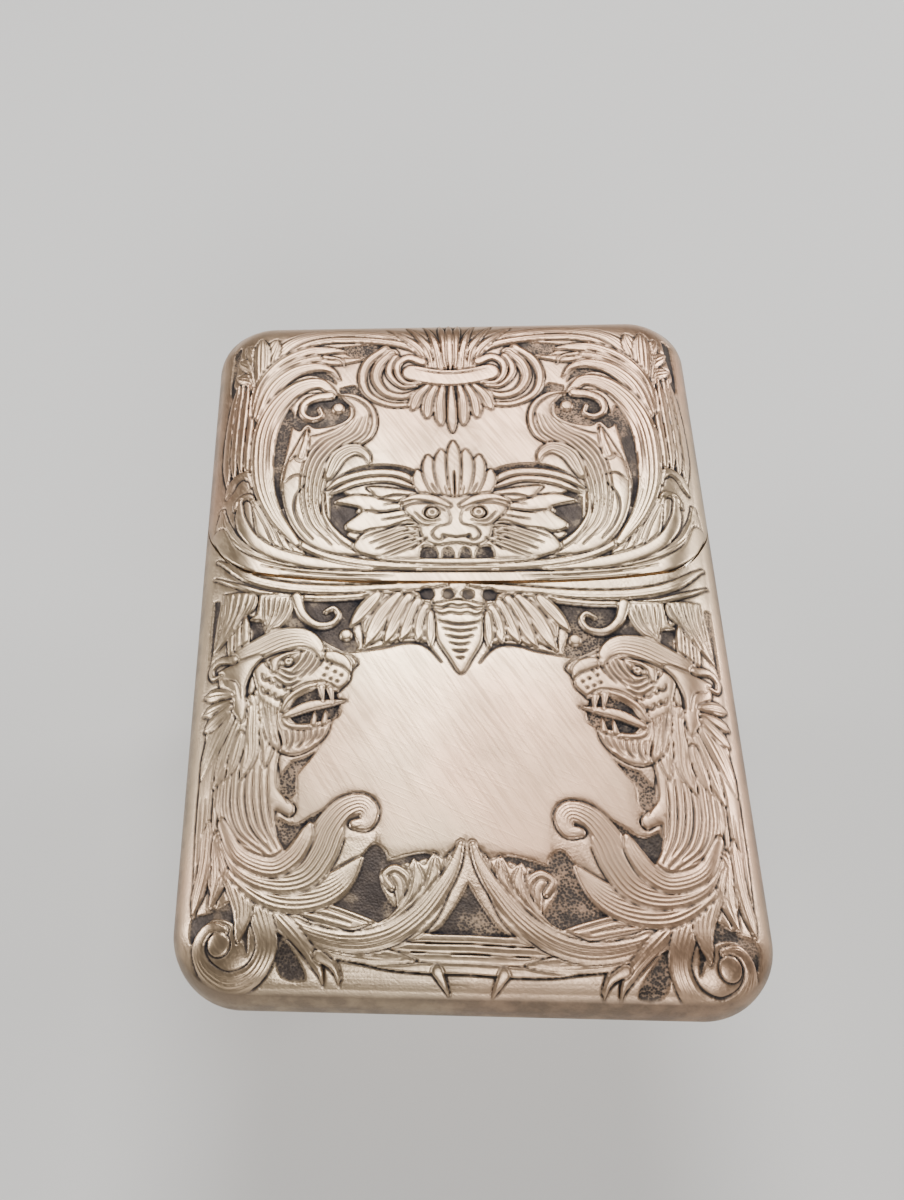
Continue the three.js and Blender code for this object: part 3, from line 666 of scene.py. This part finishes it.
stamping = {
    "cornerRadius": 5.0,
    "edgeReach": 4.6,  # how far the rounded edge reaches in from the side
    "edgeRise": 3.9,  # and how far it falls
    "wall": 0.45,
    "spacing": {"front": 0.09, "back": 0.13},  # of the grid that the die is pressed into
    "triangles": 192000,
    "lipY": 1.35,
    "bow": 1.9,  # the mouth climbs this much towards the sides
    "seamShift": 0.112,
    "hingeClear": 1.2,
    "bandFrom": 1.9,  # the band round the edge is bare from this far below the face
    "bandFade": 0.5,
    "hingeBand": 3.2,  # and so is a strip each side of the hinge
    # painted shade: the bare band round the edge and the strip by the hinge are darkened as if in shade
    "bandPaintedShade": 0.36,
    "insideTarnish": 0.12,
    "sharp": 68,  # degrees
}
halfWidth = (cadHigh.x - cadLow.x) / 2 / mm
halfHeight = (cadHigh.y - cadLow.y) / 2 / mm
thickness = (cadHigh.z - cadLow.z) / mm
hingeJoint = next(j for j in frame["record"]["behaviour"]["joints"] if j["name"] == "lid_hinge")
hingeY, hingeZ = hingeJoint["pos_m"][1] / mm, hingeJoint["pos_m"][2] / mm


def edgeProfile():
    # tables along the rounded edge: length run, reach outwards, fall, and the normal's outward and upward parts
    turn = np.linspace(0, math.pi / 2, 240)
    flat = stamping["cornerRadius"] - stamping["edgeReach"]
    reach = np.concatenate([[0], flat + stamping["edgeReach"] * np.sin(turn), [stamping["cornerRadius"]]])
    fall = np.concatenate([[0], stamping["edgeRise"] * (1 - np.cos(turn)), [thickness / 2]])
    outward = np.concatenate([[0], stamping["edgeRise"] * np.sin(turn), [1]])
    upward = np.concatenate([[1], stamping["edgeReach"] * np.cos(turn), [0]])
    norm = np.hypot(outward, upward)
    run = np.concatenate([[0], np.cumsum(np.hypot(np.diff(reach), np.diff(fall)))])
    return run, reach, fall, outward / norm, upward / norm


edgeRun, edgeOut, edgeFall, normalOut, normalUp = edgeProfile()
coreX = halfWidth - stamping["cornerRadius"]
coreY = halfHeight - stamping["cornerRadius"]


def layOver(u, v):
    # a flat sheet laid over the crowned face: plan place, height above the back, and normal
    beyondX, beyondY = np.maximum(np.abs(u) - coreX, 0), np.maximum(np.abs(v) - coreY, 0)
    run = np.maximum(beyondX, beyondY)
    safe = np.maximum(run, 1e-9)
    eighth = math.pi / 4
    angle = np.where(beyondX >= beyondY, eighth * beyondY / safe, 2 * eighth - eighth * beyondX / safe)
    out = np.interp(run, edgeRun, edgeOut)
    nOut = np.interp(run, edgeRun, normalOut)
    cosine, sine = np.cos(angle) * np.sign(u), np.sin(angle) * np.sign(v)
    x = np.clip(u, -coreX, coreX) + out * cosine
    y = np.clip(v, -coreY, coreY) + out * sine
    z = thickness - np.interp(run, edgeRun, edgeFall)
    return np.stack([x, y, z], 1), np.stack([nOut * cosine, nOut * sine, np.interp(run, edgeRun, normalUp)], 1)


def mouthAt(x, z, part):
    # where the edge of the lid or body lies, with room left round the hinge barrel
    sign = 1 if part == "lid" else -1
    share = (z - hingeZ) / (thickness - hingeZ)
    climb = stamping["bow"] * np.abs(x / halfWidth) ** 3 * np.maximum(share, 0)
    y = hingeY + share * (stamping["lipY"] - hingeY) + climb
    y = y + sign * stamping["seamShift"]
    clear = np.sqrt(np.maximum(stamping["hingeClear"] ** 2 - np.maximum(z - hingeZ, 0) ** 2, 0))
    near = z < hingeZ + stamping["hingeClear"]
    return np.where(near, (np.maximum if sign > 0 else np.minimum)(y, hingeY + sign * clear), y)


def dieAt(field, x, y, part):
    lid = readDie(lidDie, field, -np.abs(x), y)
    body = readDie(bodyDie, field, -np.abs(x), y + relief["rightDrop"] * np.maximum(x, 0))
    if part in ("lid", "body"):
        return lid if part == "lid" else body
    return np.where(y > stamping["lipY"], lid, body)


def setCoordinates(mesh, places):
    mesh.vertices.foreach_set("co", places.astype(np.float32).ravel())
    mesh.update()


def applyModifier(obj, kind, **settings):
    modifier = obj.modifiers.new(kind.title(), kind)
    for key, value in settings.items():
        setattr(modifier, key, value)
    bpy.context.view_layer.objects.active = obj
    bpy.ops.object.modifier_apply(modifier=modifier.name)


def stampShell(name, part, face):
    total = edgeRun[-1]
    spanX = 2 * (coreX + total)
    middle = float(mouthAt(np.array([0.0]), np.array([thickness if face == "front" else 0.0]), part)[0])
    end = (coreY + total) * (1 if part == "lid" else -1)
    across = round(spanX / stamping["spacing"][face])
    along = round(abs(end - middle) / stamping["spacing"][face])
    bpy.ops.mesh.primitive_grid_add(x_subdivisions=across, y_subdivisions=along, size=1)
    shell = bpy.context.object
    shell.name = name
    mesh = shell.data
    flat = np.empty(len(mesh.vertices) * 3, np.float32)
    mesh.vertices.foreach_get("co", flat)
    flat = flat.reshape(-1, 3).astype(float)
    u = flat[:, 0] * spanX
    fromMouth = 0.5 + flat[:, 1] if part == "lid" else 0.5 - flat[:, 1]
    edgePlace, _ = layOver(u, np.zeros_like(u))
    edgeZ = edgePlace[:, 2] if face == "front" else thickness - edgePlace[:, 2]
    mouthY = mouthAt(edgePlace[:, 0], edgeZ, part)
    v = mouthY * (1 - fromMouth) + end * fromMouth
    # rows stay level in the face and only close up near the mouth
    place, normal = layOver(u, v)
    if face == "back":
        place[:, 2] = thickness - place[:, 2]
        normal[:, 2] *= -1
    setCoordinates(mesh, place)
    if face == "back":
        bpy.ops.object.mode_set(mode="EDIT")
        bpy.ops.mesh.select_all(action="SELECT")
        bpy.ops.mesh.flip_normals()
        bpy.ops.object.mode_set(mode="OBJECT")
    applyModifier(shell, "SOLIDIFY", thickness=stamping["wall"], offset=-1, use_quality_normals=True)
    mesh = shell.data
    count = len(place)
    both = np.empty(len(mesh.vertices) * 3, np.float32)
    mesh.vertices.foreach_get("co", both)
    both = both.reshape(-1, 3).astype(float)
    die = part if face == "front" else "both"
    x, y = place[:, 0], place[:, 1]
    depth = dieAt("height", x, y, die)
    values = {"recess": dieAt("recess", x, y, die), "ground": dieAt("ground", x, y, die)}
    drop = thickness - place[:, 2] if face == "front" else place[:, 2]
    bare = np.clip((drop - stamping["bandFrom"]) / stamping["bandFade"], 0, 1)
    if face == "back":
        byHinge = (stamping["hingeBand"] - np.abs(y - hingeY)) / stamping["bandFade"]
        bare = np.maximum(bare, np.clip(byHinge, 0, 1))
    depth = depth * (1 - bare) + relief["rim"] * bare
    # painted shade on the bare band round the edge and by the hinge, written in with the patina of the hollows
    values["recess"] = values["recess"] * (1 - bare) + stamping["bandPaintedShade"] * bare
    values["ground"] = values["ground"] * (1 - bare)
    both[:count] = place + normal * depth[:, None]
    setCoordinates(mesh, both)
    for key, value in values.items():
        layer = mesh.attributes.new(key, "FLOAT", "POINT")
        spread = np.full(len(both), stamping["insideTarnish"] if key == "recess" else 0.0)
        spread[:count] = value
        layer.data.foreach_set("value", spread.astype(np.float32))
    triangles = 2 * len(mesh.polygons)
    applyModifier(shell, "DECIMATE", ratio=min(1.0, stamping["triangles"] / triangles))
    mesh = shell.data
    final = np.empty(len(mesh.vertices) * 3, np.float32)
    mesh.vertices.foreach_get("co", final)
    setCoordinates(mesh, final * mm)
    bpy.ops.object.shade_smooth_by_angle(angle=math.radians(stamping["sharp"]))
    applyModifier(shell, "WEIGHTED_NORMAL", keep_sharp=True, weight=50)
    bpy.ops.object.select_all(action="DESELECT")
    print(name, "struck,", len(mesh.polygons), "faces")
    return shell


silver = {
    "bright": (0.7, 0.525, 0.345, 1),
    "warm": (0.76, 0.455, 0.295, 1),
    "film": (0.4, 0.31, 0.215, 1),
    # dark patina colour, also used for the painted shade of the bare edge band
    "tarnishAndShade": (0.12, 0.095, 0.078, 1),
    "sunk": (0.02, 0.02, 0.026, 1),
    "roughness": 0.29,
    "sunkRoughness": 0.62,
    "punches": 5600.0,  # matting dots, scale
}


def node(tree, kind, inputs=None, **settings):
    made = tree.nodes.new(kind)
    for key, value in settings.items():
        setattr(made, key, value)
    for key, value in (inputs or {}).items():
        socket = made.inputs[key]
        if isinstance(value, bpy.types.NodeSocket):
            tree.links.new(value, socket)
        else:
            socket.default_value = value
    return made


def startMaterial(name):
    material = bpy.data.materials.new(name)
    material.use_nodes = True
    tree = material.node_tree
    shader = tree.nodes["Principled BSDF"]
    coords = tree.nodes.new("ShaderNodeTexCoord").outputs["Object"]
    return material, tree, shader, coords


def noise(tree, coords, scale, detail=3.0, roughness=0.55, stretch=None, turn=0.0):
    place = coords
    if stretch:
        inputs = {"Vector": coords, "Scale": stretch, "Rotation": (0, 0, turn)}
        place = node(tree, "ShaderNodeMapping", inputs, vector_type="TEXTURE").outputs[0]
    inputs = {"Vector": place, "Scale": scale, "Detail": detail, "Roughness": roughness}
    return node(tree, "ShaderNodeTexNoise", inputs).outputs["Fac"]


def cellular(tree, coords, scale, feature):
    inputs = {"Vector": coords, "Scale": scale}
    return node(tree, "ShaderNodeTexVoronoi", inputs, feature=feature).outputs["Distance"]


def span(tree, value, low, high, outLow=0.0, outHigh=1.0):
    inputs = {"Value": value, "From Min": low, "From Max": high, "To Min": outLow, "To Max": outHigh}
    return node(tree, "ShaderNodeMapRange", inputs).outputs["Result"]


def maths(tree, operation, a, b):
    clamped = operation != "ADD"
    return node(tree, "ShaderNodeMath", {0: a, 1: b}, operation=operation, use_clamp=clamped).outputs[0]


def mixColour(tree, share, a, b):
    mixer = node(tree, "ShaderNodeMix", {"Factor": share}, data_type="RGBA")
    for socket, value in ((mixer.inputs[6], a), (mixer.inputs[7], b)):
        if isinstance(value, bpy.types.NodeSocket):
            tree.links.new(value, socket)
        else:
            socket.default_value = value
    return mixer.outputs[2]


def bump(tree, height, strength, distance, under=None):
    inputs = {"Height": height, "Strength": strength, "Distance": distance}
    if under is not None:
        inputs["Normal"] = under
    return node(tree, "ShaderNodeBump", inputs).outputs["Normal"]


def struckSilver():
    material, tree, shader, coords = startMaterial("struckSilver")
    recess = node(tree, "ShaderNodeAttribute", attribute_name="recess").outputs["Fac"]
    ground = node(tree, "ShaderNodeAttribute", attribute_name="ground").outputs["Fac"]
    cloud = noise(tree, coords, 90.0, 4.0)
    patch = noise(tree, coords, 38.0, 2.0)
    grain = noise(tree, coords, 1500.0, 2.0)
    colour = mixColour(tree, span(tree, patch, 0.44, 0.6), silver["bright"], silver["warm"])
    film = span(tree, cloud, 0.3, 0.75, 0.1, 0.6)
    colour = mixColour(tree, film, colour, silver["film"])
    punched = cellular(tree, coords, silver["punches"], "F1")
    matting = maths(tree, "MULTIPLY", punched, ground)
    patchy = noise(tree, coords, 520.0, 3.0)
    # patina in the hollows, worn off in patches, plus the painted shade of the bare edge band
    patinaAndShade = maths(tree, "MULTIPLY", recess, span(tree, patchy, 0.36, 0.56, 0.62, 1.0))
    rubbed = maths(tree, "MULTIPLY", span(tree, matting, 0.3, 0.7), span(tree, cloud, 0.4, 0.6, 0.0, 0.35))
    patinaAndShade = maths(tree, "SUBTRACT", patinaAndShade, rubbed)
    # darkens towards the patina colour: real patina in the hollows and painted shade on the edge band
    colour = mixColour(tree, span(tree, patinaAndShade, 0.0, 0.5), colour, silver["tarnishAndShade"])
    colour = mixColour(tree, span(tree, patinaAndShade, 0.4, 0.95), colour, silver["sunk"])
    tree.links.new(colour, shader.inputs["Base Color"])
    shader.inputs["Metallic"].default_value = 1.0
    scuffA = noise(tree, coords, 6500.0, 1.0, stretch=(1.0, 22.0, 1.0), turn=0.55)
    scuffB = noise(tree, coords, 5200.0, 1.0, stretch=(20.0, 1.0, 1.0), turn=-0.45)
    rough = span(tree, recess, 0.0, 1.0, silver["roughness"], silver["sunkRoughness"])
    rough = maths(tree, "ADD", rough, span(tree, cloud, 0.4, 0.7, 0.0, 0.12))
    rough = maths(tree, "ADD", rough, span(tree, scuffA, 0.4, 0.7, 0.0, 0.1))
    tree.links.new(rough, shader.inputs["Roughness"])
    scuffs = maths(tree, "ADD", span(tree, scuffA, 0.52, 0.66), span(tree, scuffB, 0.56, 0.68))
    normal = bump(tree, matting, 0.45, 0.00005)
    normal = bump(tree, scuffs, 0.25, 0.000008, normal)
    normal = bump(tree, grain, 0.12, 0.00002, normal)
    tree.links.new(normal, shader.inputs["Normal"])
    return material


def plainSilver(name, tint, roughness, lines):
    material, tree, shader, coords = startMaterial(name)
    cloud = noise(tree, coords, 160.0, 4.0)
    colour = mixColour(tree, span(tree, cloud, 0.4, 0.75), tint, silver["tarnishAndShade"])
    tree.links.new(colour, shader.inputs["Base Color"])
    shader.inputs["Metallic"].default_value = 1.0
    drawn = noise(tree, coords, 900.0, 2.0, stretch=lines)
    tree.links.new(span(tree, drawn, 0.3, 0.7, roughness, roughness + 0.14), shader.inputs["Roughness"])
    tree.links.new(bump(tree, drawn, 0.15, 0.00002), shader.inputs["Normal"])
    return material


def leather(name, colour, wornColour, grainScale):
    material, tree, shader, coords = startMaterial(name)
    cells = cellular(tree, coords, grainScale, "DISTANCE_TO_EDGE")
    mottled = noise(tree, coords, 260.0, 5.0)
    mix = mixColour(tree, span(tree, mottled, 0.35, 0.7), colour, wornColour)
    crease = tuple(0.4 * c for c in colour[:3]) + (1,)
    mix = mixColour(tree, span(tree, cells, 0.0, 0.12, 0.6, 0.0), mix, crease)
    tree.links.new(mix, shader.inputs["Base Color"])
    tree.links.new(span(tree, mottled, 0.3, 0.7, 0.5, 0.72), shader.inputs["Roughness"])
    tree.links.new(bump(tree, span(tree, cells, 0.0, 0.2), 0.5, 0.00006), shader.inputs["Normal"])
    return material


finishes = {
    "struck_silver": struckSilver(),
    "plain_silver": plainSilver("collarSilver", (0.8, 0.66, 0.5, 1), 0.22, (1.0, 1.0, 16.0)),
    "hinge_silver": plainSilver("hingeSilver", (0.78, 0.67, 0.54, 1), 0.26, (16.0, 1.0, 1.0)),
    "pin_wire": plainSilver("pinWire", (0.62, 0.6, 0.58, 1), 0.3, (25.0, 1.0, 1.0)),
    "rack_leather": leather("rackLeather", (0.16, 0.045, 0.035, 1), (0.24, 0.08, 0.055, 1), 1500.0),
    "rack_board": leather("rackLining", (0.3, 0.24, 0.17, 1), (0.42, 0.35, 0.26, 1), 2600.0),
}
print("finishes mixed")


def dress(piece, slotName, body, *replaced):
    piece.data.materials.clear()
    piece.data.materials.append(finishes[slotName])
    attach(piece, body)
    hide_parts(*replaced)


for part, body in (("lid", "lid"), ("body", "case_body")):
    for face in ("front", "back"):
        dress(stampShell(part + "_" + face, part, face), "struck_silver", body, f"{part}_{face}_shell")

fittings = {  # node: (body, rounding of its edges in mm)
    "body_collar": ("case_body", 0.06),
    "body_hinge_bearer": ("case_body", 0.08),
    "lid_hinge_bearer": ("lid", 0.08),
    "body_knuckle_left": ("case_body", 0.09),
    "body_knuckle_middle": ("case_body", 0.09),
    "body_knuckle_right": ("case_body", 0.09),
    "lid_knuckle_left": ("lid", 0.09),
    "lid_knuckle_right": ("lid", 0.09),
    "hinge_pin": ("case_body", 0.1),
    "rack_back_pad": ("case_body", 0.25),
    "rack_step_block": ("case_body", 0.12),
    "rack_divider_1": ("case_body", 0.12),
    "rack_divider_2": ("case_body", 0.12),
    "rack_front_card": ("case_body", 0.1),
    "rack_side_strip_left": ("case_body", 0.12),
    "rack_side_strip_right": ("case_body", 0.12),
}
slotOf = {entry["node"]: entry["material_slot"] for entry in frame["record"]["subparts"]}


def finishFitting(name, body, rounding):
    source = frame["nodes"][name]
    piece = source.copy()
    piece.data = source.data.copy()
    piece.parent = None
    piece.name = name + "_finished"
    bpy.context.scene.collection.objects.link(piece)
    piece.select_set(True)
    bpy.context.view_layer.objects.active = piece
    bpy.ops.object.mode_set(mode="EDIT")
    bpy.ops.mesh.select_all(action="SELECT")
    bpy.ops.mesh.remove_doubles(threshold=1e-7)
    bpy.ops.mesh.tris_convert_to_quads(face_threshold=math.radians(2), shape_threshold=math.radians(60))
    bpy.ops.object.mode_set(mode="OBJECT")
    corner = math.radians(40)
    bevel = {"width": rounding * mm, "segments": 2, "limit_method": "ANGLE", "angle_limit": corner}
    applyModifier(piece, "BEVEL", use_clamp_overlap=True, **bevel)
    bpy.ops.object.shade_smooth_by_angle(angle=corner)
    bpy.ops.object.select_all(action="DESELECT")
    dress(piece, slotOf[name], body, name)


for name, (body, rounding) in fittings.items():
    finishFitting(name, body, rounding)
print("fittings finished")

studio = {
    "floorDrop": 0.024,  # the opened lid hangs below the body
    "plinth": (0.012, 0.009),
    "floorColour": (0.78, 0.77, 0.75, 1),
    "sky": (1.0, 0.97, 0.93, 1),
    "skyStrength": 0.16,
    "lights": {  # place, size and power
        "over": ((0.005, 0.2, 0.28), 0.16, 0.86),
        "left": ((-0.3, 0.03, 0.12), 0.14, 0.6),
        "right": ((0.3, 0.12, 0.12), 0.12, 0.7),
        "front": ((0.05, -0.3, 0.2), 0.16, 0.55),
    },
}
camera = {
    "place": (-0.00522, -0.058485, 0.099905),
    "turn": (33.842, 4.196, 2.61),
    "lens": 42.0,
    "shift": (0.1522, -0.028),
}

floorZ = cadLow.z - studio["floorDrop"]
stageMaterial, stageTree, stageShader, stageCoords = startMaterial("paleFloor")
stageShader.inputs["Base Color"].default_value = studio["floorColour"]
stageShader.inputs["Roughness"].default_value = 0.8
bpy.ops.mesh.primitive_plane_add(size=3, location=(0, 0, floorZ))
floor = bpy.context.object
floor.name = "floor"
bpy.ops.mesh.primitive_cube_add(size=1, location=(0, 0, 0))
plinth = bpy.context.object
plinth.name = "plinth"
for vertex in plinth.data.vertices:
    vertex.co.x *= 2 * studio["plinth"][0]
    vertex.co.y *= 2 * studio["plinth"][1]
    vertex.co.z = floorZ if vertex.co.z < 0 else cadLow.z - 0.00005
applyModifier(plinth, "BEVEL", width=0.001, segments=3)
for prop in (floor, plinth):
    prop.data.materials.append(stageMaterial)
for name, (place, size, power) in studio["lights"].items():
    bpy.ops.object.light_add(type="AREA", location=place)
    lamp = bpy.context.object
    lamp.name = name
    lamp.data.shape = "DISK"
    lamp.data.size = size
    lamp.data.energy = power
    toward = -lamp.location
    lamp.rotation_euler = toward.to_track_quat("-Z", "Y").to_euler()

world = bpy.data.worlds.new("studioSky")
world.use_nodes = True
world.node_tree.nodes["Background"].inputs["Color"].default_value = studio["sky"]
world.node_tree.nodes["Background"].inputs["Strength"].default_value = studio["skyStrength"]
bpy.context.scene.world = world

bpy.ops.object.camera_add(location=camera["place"], rotation=[math.radians(a) for a in camera["turn"]])
eye = bpy.context.object
eye.data.lens = camera["lens"]
eye.data.shift_x, eye.data.shift_y = camera["shift"]
eye.data.clip_start, eye.data.clip_end = 0.005, 10
bpy.context.scene.camera = eye
bpy.ops.object.select_all(action="DESELECT")

print("scene ready")
